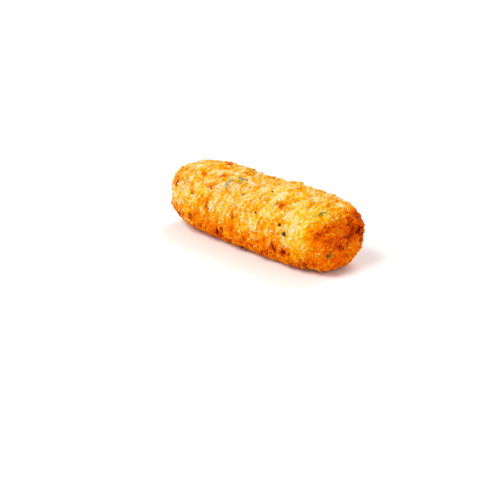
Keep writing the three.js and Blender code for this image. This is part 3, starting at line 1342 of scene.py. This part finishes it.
@dataclass(frozen=True)
class LooseCrumbs:
    """One kind of loose crumb, scattered over the crust and partly sunk into it."""

    name: str
    slot: Slot
    seed: int
    count: int
    smallest: float
    largest: float
    shape: tuple[float, float, float]
    tone: float
    tone_change: float
    follows_crust: float  # how far its tone goes with the crust's
    brown_pull: float = 0.0
    runs_round: float = 0.0  # how strongly it lies across the stick instead of any way
    detail: int = 0
    skew: float = 2.0  # above 1, small crumbs outnumber large ones
    sunk: float = 0.35
    lean: float = 0.35
    roughness: float = 0.28
    finish: Finish = CRUMB_FINISH

    def build(self, crust: Crust, shift: Array) -> bpy.types.Object:
        """Makes the crumbs one piece.

        Args:
            crust: The skin that they lie on.
            shift: What moves them from the stick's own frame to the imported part's.

        Returns:
            The piece.
        """
        luck = np.random.default_rng(self.seed)
        point, outward, crust_tone = crust.scatter(self.count, self.brown_pull, luck)
        size = self.smallest + (self.largest - self.smallest) * luck.random(self.count) ** self.skew
        clear = point[:, 2] - size / 2 > crust.form.floor
        point, outward, crust_tone, size = (v[clear] for v in (point, outward, crust_tone, size))
        count = len(point)
        up = unit(outward + self.lean * luck.normal(size=(count, 3)))
        away = luck.normal(size=(count, 3))
        away += self.runs_round * np.array([math.cos(LEAN), 0, -math.sin(LEAN)])
        onward = unit(np.cross(up, away))
        axes = np.stack([onward, np.cross(up, onward), up], 1)
        pebble = Pebble.of_detail(self.detail)
        swell = 1 + self.roughness * luck.uniform(-1, 1, (count, len(pebble.corners), 1))
        local = pebble.corners * swell * np.array(self.shape) * size[:, None, None]
        local[..., 2] += (size * self.shape[2] * (0.5 - self.sunk))[:, None]
        corners = point[:, None] + np.einsum("nki,nij->nkj", local, axes)
        corners[..., 2] = np.maximum(corners[..., 2], crust.form.floor)
        tone = self.tone + self.tone_change * luck.normal(size=count)
        tone += self.follows_crust * (crust_tone - crust.browning.plain)
        faces = (pebble.faces + len(pebble.corners) * np.arange(count)[:, None, None]).reshape(-1, 3)
        mesh = Mesh(
            points=corners.reshape(-1, 3),
            faces=faces,
            chart=cell_map(len(faces), 3),
            tone=np.repeat(tone, len(pebble.corners)),
            gold=np.repeat(crust.browning.gold(point), len(pebble.corners)),
        )
        return dressed(mesh, self.name, shift, self.finish, smooth=self.detail > 0)


@dataclass(frozen=True)
class PepperGrains:
    """Craggy grains of cracked pepper, partly sunk into the crust."""

    kind: Fused = PEPPER_GRAINS
    craggy: float = 0.2
    crags: tuple[float, float] = (3.1, 5.7)  # how many there are across a grain, broad and fine
    fine_share: float = 0.5  # how high the fine ones are, for 1 at the broad ones
    apart: float = 7.3  # how far the noise moves on from grain to grain
    detail: int = 2

    def _grain(self, form: StickForm, place: Place, tone: float, number: int) -> Mesh:
        """Makes one grain.

        Args:
            form: The stick's form, which it lies on.
            place: Where it is.
            tone: Its tone.
            number: Its number, which its crags follow from.

        Returns:
            The grain's mesh.
        """
        pebble = Pebble.of_detail(self.detail)
        point, axes = form.turned_axes(place)
        broad, fine = (smooth_noise(pebble.corners * crag + number * self.apart) for crag in self.crags)
        swell = 1 + self.craggy * (broad + self.fine_share * fine)[:, None]
        local = pebble.corners * swell * np.array(self.kind.shape) * place.size
        local[:, 2] += place.size * self.kind.shape[2] * (0.5 - self.kind.sunk)
        tones = np.full(len(local), tone)
        return Mesh(point + local @ axes, pebble.faces, cell_map(len(pebble.faces), 3), tones)

    def build(self, form: StickForm, places: list[Toned], shift: Array) -> bpy.types.Object:
        """Makes the grains one piece.

        Args:
            form: The stick's form, which they lie on.
            places: Where they are, each with its tone.
            shift: What moves them from the stick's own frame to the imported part's.

        Returns:
            The piece.
        """
        kept = [toned for toned in places if form.clears_floor(toned[0])]
        mesh = merged([self._grain(form, *toned, number) for number, toned in enumerate(kept)])
        mesh.points[:, 2] = np.maximum(mesh.points[:, 2], form.floor)
        return dressed(mesh, "pepper_grains", shift, PEPPER_FINISH)


@dataclass(frozen=True)
class ChilliFlakes:
    """Thin angular chips of dried chilli that bend to lie on the crust."""

    corners: int = 9
    thickness: float = 0.22
    breadth: float = 0.58  # for a length of 1
    uneven: float = 0.45  # how much nearer than the rim's ellipse its nearest corners are
    uneven_turn: float = 0.7  # how unevenly they follow on one another
    dish: float = 0.22  # how far the rim curls up from the middle
    lift: float = 0.42

    def _chip(self, form: StickForm, place: Place, tone: float, number: int) -> Mesh:
        """Makes one chip: a rim and a middle point on its top, and the same below.

        Args:
            form: The stick's form, which it lies on.
            place: Where it is.
            tone: Its tone.
            number: Its number, which its corners follow from.

        Returns:
            The chip's mesh.
        """
        count = self.corners
        i = np.arange(count)
        around = 2 * math.pi * (i + self.uneven_turn * scramble(i, number, Draw.CORNER)) / count
        reach = 0.5 * place.size * (1 - self.uneven * scramble(i, number, Draw.REACH))
        ahead = np.append(reach * np.cos(around), 0)
        aside = np.append(reach * np.sin(around) * self.breadth, 0)
        c, s = math.cos(place.turn), math.sin(place.turn)
        surface, outward = form.laid(place, ahead * c - aside * s, ahead * s + aside * c)
        curl = np.append(self.dish * (1 + scramble(i, number, Draw.CURL)), 0)
        top = surface + outward * (self.lift + curl)[:, None]
        below = top - outward * self.thickness
        k = (i + 1) % count
        middle, under = np.full(count, count), count + 1
        faces = [np.stack([i, k, middle], -1), np.stack([k + under, i + under, middle + under], -1)]
        faces += [np.stack([i, i + under, k], -1), np.stack([k, i + under, k + under], -1)]
        points, triangles = np.vstack([top, below]), np.vstack(faces)
        return Mesh(points, triangles, cell_map(len(triangles), 3), np.full(len(points), tone))

    def build(self, form: StickForm, places: list[Toned], shift: Array) -> bpy.types.Object:
        """Makes the chips one piece.

        Args:
            form: The stick's form, which they lie on.
            places: Where they are, each with its tone.
            shift: What moves them from the stick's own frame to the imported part's.

        Returns:
            The piece.
        """
        kept = [toned for toned in places if form.clears_floor(toned[0])]
        mesh = merged([self._chip(form, *toned, number) for number, toned in enumerate(kept)])
        return dressed(mesh, "chilli_flakes", shift, CHILLI_FINISH)


@dataclass(frozen=True)
class Leaf:
    """A dried leaf: its place, how wide it is for its length, how far it bows and its hue."""

    place: Place
    breadth: float
    bow: float
    hue: float


@dataclass(frozen=True)
class HerbLeaves:
    """Thin dried leaves that bend to lie on the crust."""

    stations: int = 14
    thickness: float = 0.14
    lift: float = 0.5  # how far they lie above the middle of the crust's relief
    fold: float = 0.35  # how far the midrib stands proud, as a share of the half breadth
    ragged: float = 0.4  # how unevenly broad they are
    ragged_along: float = 5.5  # how many bumps that has along a leaf
    ragged_apart: float = 3.7  # how far its noise moves on for a millimetre more of length
    tip: float = 0.04  # where a leaf's outline is cut off, before its width comes to nothing
    fullness: float = 0.6  # below 1, it is nearly as broad at its ends as in its middle
    curl: float = 0.12
    curl_bumps: float = 1.3  # how many bumps that has to a millimetre
    dark_edge: float = 0.16  # how much darker one edge is
    edge_tones: tuple[float, ...] = (1.0, 0.0, 0.3, 0.0)  # its share of that, then top, other edge, below

    def _leaf(self, form: StickForm, leaf: Leaf) -> Mesh:
        """Makes one leaf: a ring of four points at each station, drawn to a point at both ends.

        Args:
            form: The stick's form, which it lies on.
            leaf: The leaf.

        Returns:
            The leaf's mesh.
        """
        t = np.linspace(0, 1, self.stations)[:, None]
        width = np.sin(math.pi * (self.tip + (1 - 2 * self.tip) * t)) ** self.fullness
        half = 0.5 * leaf.breadth * leaf.place.size * width
        along = t * np.array([self.ragged_along, 0, 0]) + leaf.place.size * self.ragged_apart
        half = half * (1 + self.ragged * smooth_noise(along)[:, None])
        aside = half * np.array([1, 0, -1, 0]) + leaf.bow * leaf.place.size * (4 * t * (1 - t) - 0.5)
        ahead = (t - 0.5) * leaf.place.size + 0 * aside
        c, s = math.cos(leaf.place.turn), math.sin(leaf.place.turn)
        surface, outward = form.laid(leaf.place, ahead * c - aside * s, ahead * s + aside * c)
        height = self.lift + np.array([0, 1, 0, 0]) * self.fold * half
        height = height + self.thickness * np.array([0, 0.5, 0, -0.5])
        curl = self.curl * smooth_noise(surface * self.curl_bumps)
        points = (surface + outward * (height + curl)[..., None]).reshape(-1, 3)
        i, j = (v.ravel() for v in np.meshgrid(np.arange(self.stations - 1), np.arange(4), indexing="ij"))
        k = (j + 1) % 4
        sides = np.stack([4 * i + j, 4 * i + k, 4 * i + 4 + k, 4 * i + 4 + j], -1)
        last = 4 * (self.stations - 1)
        faces = np.vstack([sides, [[3, 2, 1, 0]], [[last, last + 1, last + 2, last + 3]]])
        tone = leaf.hue + self.dark_edge * np.tile(self.edge_tones, self.stations)
        return Mesh(points, faces, cell_map(len(faces), 4), tone)

    def build(self, form: StickForm, leaves: list[Leaf], shift: Array) -> bpy.types.Object:
        """Makes the leaves one piece on the form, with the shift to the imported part's frame."""
        mesh = merged([self._leaf(form, leaf) for leaf in leaves if form.clears_floor(leaf.place)])
        return dressed(mesh, "herb_leaves", shift, HERB_FINISH)


# ------------------------------------------------------------------------------------------------ studio


def direction(azimuth: float, elevation: float) -> Vector:
    """The way from the object to what stands at an azimuth, 0 in front of it, and an elevation."""
    a, e = math.radians(azimuth), math.radians(elevation)
    return Vector((math.sin(a) * math.cos(e), -math.cos(a) * math.cos(e), math.sin(e)))


@dataclass(frozen=True)
class Softbox:
    """A square area light, aimed at the object."""

    name: str
    azimuth: float
    elevation: float
    distance: float
    side: float
    power: float
    colour: Colour

    def build(self, aim: Vector) -> None:
        """Hangs the light.

        Args:
            aim: The point that it shines on.
        """
        data = bpy.data.lights.new(self.name, "AREA")
        data.size, data.energy, data.color = self.side, self.power, self.colour
        lamp = bpy.data.objects.new(self.name, data)
        way = direction(self.azimuth, self.elevation)
        lamp.location = aim + way * self.distance
        lamp.rotation_euler = way.to_track_quat("Z", "Y").to_euler()
        bpy.context.scene.collection.objects.link(lamp)


@dataclass(frozen=True)
class Studio:
    """A pale floor, soft lights and a camera. Its sizes are in metres."""

    floor_side: float = 1.4
    floor_colour: Colour = (0.95, 0.95, 0.95)
    floor_roughness: float = 0.9
    horizon: float = 1.0  # how bright the surroundings are, level with the object
    zenith: float = 0.33  # and overhead
    zenith_from: float = 0.7  # the sine of the elevation from which they count as overhead
    softboxes: tuple[Softbox, ...] = (
        Softbox("key", -15, 52, 2.4, 1.2, 45, (1.0, 0.98, 0.94)),
        Softbox("fill", 100, 35, 2.4, 1.5, 8, (1.0, 0.97, 0.94)),
        Softbox("back", 190, 48, 2.4, 1.5, 28, (1.0, 0.99, 0.97)),
    )
    camera_azimuth: float = 45.0
    camera_elevation: float = 20.0
    camera_distance: float = 0.52
    lens: float = 98.0
    sensor: float = 36.0
    clip: tuple[float, float] = (0.01, 20.0)
    frame_side: int = 500
    object_middle: tuple[float, float] = (261.5, 209.0)  # the pixel where the object's middle shows

    def build(self, middle: Vector) -> None:
        """Sets up the floor, the lights and the camera.

        Args:
            middle: The middle of the object.
        """
        self._floor()
        for softbox in self.softboxes:
            softbox.build(middle)
        self._surround()
        self._camera(middle)
        bpy.context.scene.view_settings.view_transform = "Standard"

    def _floor(self) -> None:
        """Lays the floor."""
        half = self.floor_side / 2
        data = bpy.data.meshes.new("floor")
        corners = [(-half, -half, 0), (half, -half, 0), (half, half, 0), (-half, half, 0)]
        data.from_pydata(corners, [], [(0, 1, 2, 3)])
        floor = bpy.data.objects.new("floor", data)
        bpy.context.scene.collection.objects.link(floor)
        material = bpy.data.materials.new("pale_floor")
        sheet = Sheet(material)
        inputs = {"Base Color": (*self.floor_colour, 1.0), "Roughness": self.floor_roughness}
        surface = sheet.node("ShaderNodeBsdfPrincipled", None, inputs)
        sheet.node("ShaderNodeOutputMaterial", None, {"Surface": surface.outputs["BSDF"]})
        data.materials.append(material)

    def _surround(self) -> None:
        """Lights the scene softly from all round, most from the horizon."""
        world = bpy.data.worlds.new("studio")
        sheet = Sheet(world)
        way = sheet.node("ShaderNodeTexCoord").outputs["Generated"]
        height = sheet.wire(sheet.node("ShaderNodeSeparateXYZ", None, {0: way}), "Z")
        strength = height.smooth(0.0, self.zenith_from) * (self.zenith - self.horizon) + self.horizon
        inputs = {"Color": (1.0, 1.0, 1.0, 1.0), "Strength": strength}
        background = sheet.node("ShaderNodeBackground", None, inputs)
        sheet.node("ShaderNodeOutputWorld", None, {"Surface": background.outputs[0]})
        bpy.context.scene.world = world

    def _camera(self, middle: Vector) -> None:
        """Stands the camera so that the object's middle shows at its pixel.

        Args:
            middle: The middle of the object.
        """
        back = direction(self.camera_azimuth, self.camera_elevation)
        turn = back.to_track_quat("Z", "Y")
        right, up = turn @ Vector((1, 0, 0)), turn @ Vector((0, 1, 0))
        pixel = self.camera_distance * self.sensor / self.lens / self.frame_side
        half = self.frame_side / 2
        aim = middle + right * (half - self.object_middle[0]) * pixel
        aim += up * (self.object_middle[1] - half) * pixel
        data = bpy.data.cameras.new("camera")
        data.lens, data.sensor_width = self.lens, self.sensor
        data.clip_start, data.clip_end = self.clip
        camera = bpy.data.objects.new("camera", data)
        camera.location = middle + back * self.camera_distance
        camera.rotation_euler = (camera.location - aim).to_track_quat("Z", "Y").to_euler()
        bpy.context.scene.collection.objects.link(camera)
        bpy.context.scene.camera = camera


# -------------------------------------------------------------------------------------------------- main

CRUMB_KINDS = (
    LooseCrumbs(
        name="golden_crumbs",
        slot=Slot.CRUST,
        seed=101,
        count=9600,
        smallest=0.35,
        largest=1.1,
        shape=(1, 0.62, 0.55),
        tone=0.31,
        tone_change=0.08,
        follows_crust=0.9,
        runs_round=1.5,
    ),
    # pale crumbs: real untoasted crumbs, and also painted highlight that stands for the glints on crumb
    # tips
    LooseCrumbs(
        name="pale_crumbs",
        slot=Slot.PALE_CRUMB,
        seed=102,
        count=9200,
        smallest=0.32,
        largest=0.95,
        shape=(1, 0.58, 0.48),
        tone=0.02,
        tone_change=0.09,
        follows_crust=0.95,
        brown_pull=-4.0,
        runs_round=1.8,
    ),
    # pale shreds: real pale crumbs, and also painted highlight that stands for streaks of glint
    LooseCrumbs(
        name="pale_shreds",
        slot=Slot.PALE_CRUMB,
        seed=105,
        count=600,
        smallest=0.8,
        largest=1.8,
        shape=(1, 0.34, 0.28),
        tone=0.05,
        tone_change=0.06,
        follows_crust=0.9,
        brown_pull=-4.0,
        runs_round=2.5,
        lean=0.1,
    ),
    LooseCrumbs(
        name="toasted_crumbs",
        slot=Slot.TOASTED_CRUMB,
        seed=103,
        count=480,
        smallest=0.3,
        largest=0.85,
        shape=(1, 0.8, 0.6),
        tone=0.72,
        tone_change=0.1,
        follows_crust=0.3,
        brown_pull=2.5,
    ),
    LooseCrumbs(
        name="coarse_crumbs",
        slot=Slot.CRUST,
        seed=104,
        count=380,
        smallest=1.0,
        largest=1.9,
        shape=(1, 0.75, 0.4),
        tone=0.28,
        tone_change=0.08,
        follows_crust=0.9,
        detail=1,
    ),
)

# Each listed row starts as a place does: its face, the distance along or out, the angle, the size and
# the turn. A herb's row goes on with its breadth, its bow and its hue, and the others' with their tone.
HERBS_BY_HAND = (
    (SIDE, -9, 125, 5.0, 95, 0.16, 0.05, 0.05),
    (SIDE, -8.5, 120, 1.7, 50, 0.36, 0.0, 0.2),
    (SIDE, -5, 115, 4.4, 125, 0.16, -0.05, 0.1),
    (SIDE, -6, 110, 1.9, 20, 0.32, 0.1, 0.34),
    (SIDE, -3, 110, 1.8, 10, 0.5, 0.0, 0.25),
    (SIDE, -12, 60, 1.9, 30, 0.45, 0.0, 0.6),
    (SIDE, -7, 85, 2.6, 50, 0.2, 0.05, 0.7),
    (SIDE, 1, 135, 1.9, 75, 0.45, 0.0, 0.95),
    (SIDE, 2, 75, 2.8, 20, 0.12, 0.15, 0.9),
    (SIDE, 37, 125, 1.6, 60, 0.4, 0.0, 0.5),
    (SIDE, 38, 120, 0.9, 10, 0.6, 0.0, 0.6),
    (SIDE, -31, 145, 1.0, 0, 0.8, 0.0, 0.25),
    (END, 8, 205, 2.8, 60, 0.24, 0.05, 0.62),
)
CHILLI_BY_HAND = (
    (SIDE, -35.5, 150, 4.2, 55, 0.0),
    (SIDE, -15, 170, 2.2, 80, 0.7),
    (SIDE, -16, 140, 2.4, 10, 0.1),
    (SIDE, -14.5, 115, 2.4, 40, 0.15),
    (SIDE, 21, 135, 1.8, 70, 0.3),
    (SIDE, 20, 195, 2.6, 100, 0.6),
    (SIDE, -20.5, 80, 3.0, 15, 0.2),
    (END, 9, 60, 2.4, 30, 0.7),
    (END, 7, 15, 2.2, 60, 0.6),
)
PEPPER_BY_HAND = (
    (SIDE, 24, 160, 1.2, 0, 0.15),
    (SIDE, 27, 170, 1.6, 40, 0.0),
    (SIDE, 10, 155, 0.9, 80, 0.85),
    (SIDE, -1, 175, 1.0, 20, 1.0),
    (SIDE, -25, 195, 1.0, 60, 0.9),
    (SIDE, -24, 160, 0.7, 10, 0.8),
    (SIDE, 12, 115, 0.8, 50, 0.9),
    (SIDE, 39, 155, 0.6, 20, 1.0),
    (END, 6, 85, 1.0, 0, 0.75),
    (END, 1.5, 115, 0.8, 30, 0.95),
    (END, 7.5, 170, 0.8, 70, 0.8),
    (END, 3, 245, 0.9, 10, 0.7),
    (END, 9.5, 45, 1.0, 50, 0.85),
    (END, 1.5, 300, 0.9, 15, 1.0),
    (END, 8.5, 130, 0.7, 35, 1.0),
    (END, 10, 140, 0.6, 80, 1.0),
    (END, 9, 205, 1.1, 65, 0.95),
)
REAR_LEAF_BREADTH = 0.26
REAR_LEAF_BOW = 0.05
REAR_HUES = (0.1, 0.5, 0.25, 0.6, 0.05)
CHILLI_TONES = (0.45, 0.15, 0.85, 0.3, 0.65, 0.0)
PEPPER_TONES = (0.9, 0.0, 0.85, 0.8, 0.7, 0.9, 0.6, 0.9, 0.4, 0.8)


def toned_places(form: StickForm, rows: Rows, kind: Fused, tones: tuple[float, ...]) -> list[Toned]:
    """The places of a kind of seasoning, each with its tone: the listed rows, then scattered ones."""
    by_hand = [(form.placed(*row[:PLACE_VALUES]), row[PLACE_VALUES]) for row in rows]
    return by_hand + list(zip(form.scattered(kind), tones))


def main() -> None:
    """Builds the stick and its studio, and reports each piece."""
    logging.basicConfig(level=logging.INFO, format="%(name)s: %(message)s")
    form = StickForm()
    browning = Browning(form)
    crust = Crust(form, browning)
    low, high = (np.array(corner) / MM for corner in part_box(NODE))
    shift = (low + high) / 2 - (crust.points.min(0) + crust.points.max(0)) / 2
    shift[2] = low[2] - form.floor

    pieces = [crust.build(shift)]
    pieces += [kind.build(crust, shift) for kind in CRUMB_KINDS]
    leaves = [Leaf(form.placed(*row[:PLACE_VALUES]), *row[PLACE_VALUES:]) for row in HERBS_BY_HAND]
    for place, hue in zip(form.scattered(HERB_LEAVES), itertools.cycle(REAR_HUES)):
        if place.along < 1:  # the blunt end has only the listed ones
            leaves.append(Leaf(place, REAR_LEAF_BREADTH, REAR_LEAF_BOW, hue))
    pieces.append(HerbLeaves().build(form, leaves, shift))
    places = toned_places(form, CHILLI_BY_HAND, CHILLI_FLAKES, CHILLI_TONES)
    pieces.append(ChilliFlakes().build(form, places, shift))
    places = toned_places(form, PEPPER_BY_HAND, PEPPER_GRAINS, PEPPER_TONES)
    pieces.append(PepperGrains().build(form, places, shift))
    for piece in pieces:
        log.info("%s: %d faces", piece.name, len(piece.data.polygons))

    Studio().build(sum(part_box(NODE), Vector()) / 2)


if __name__ == "__main__":
    main()
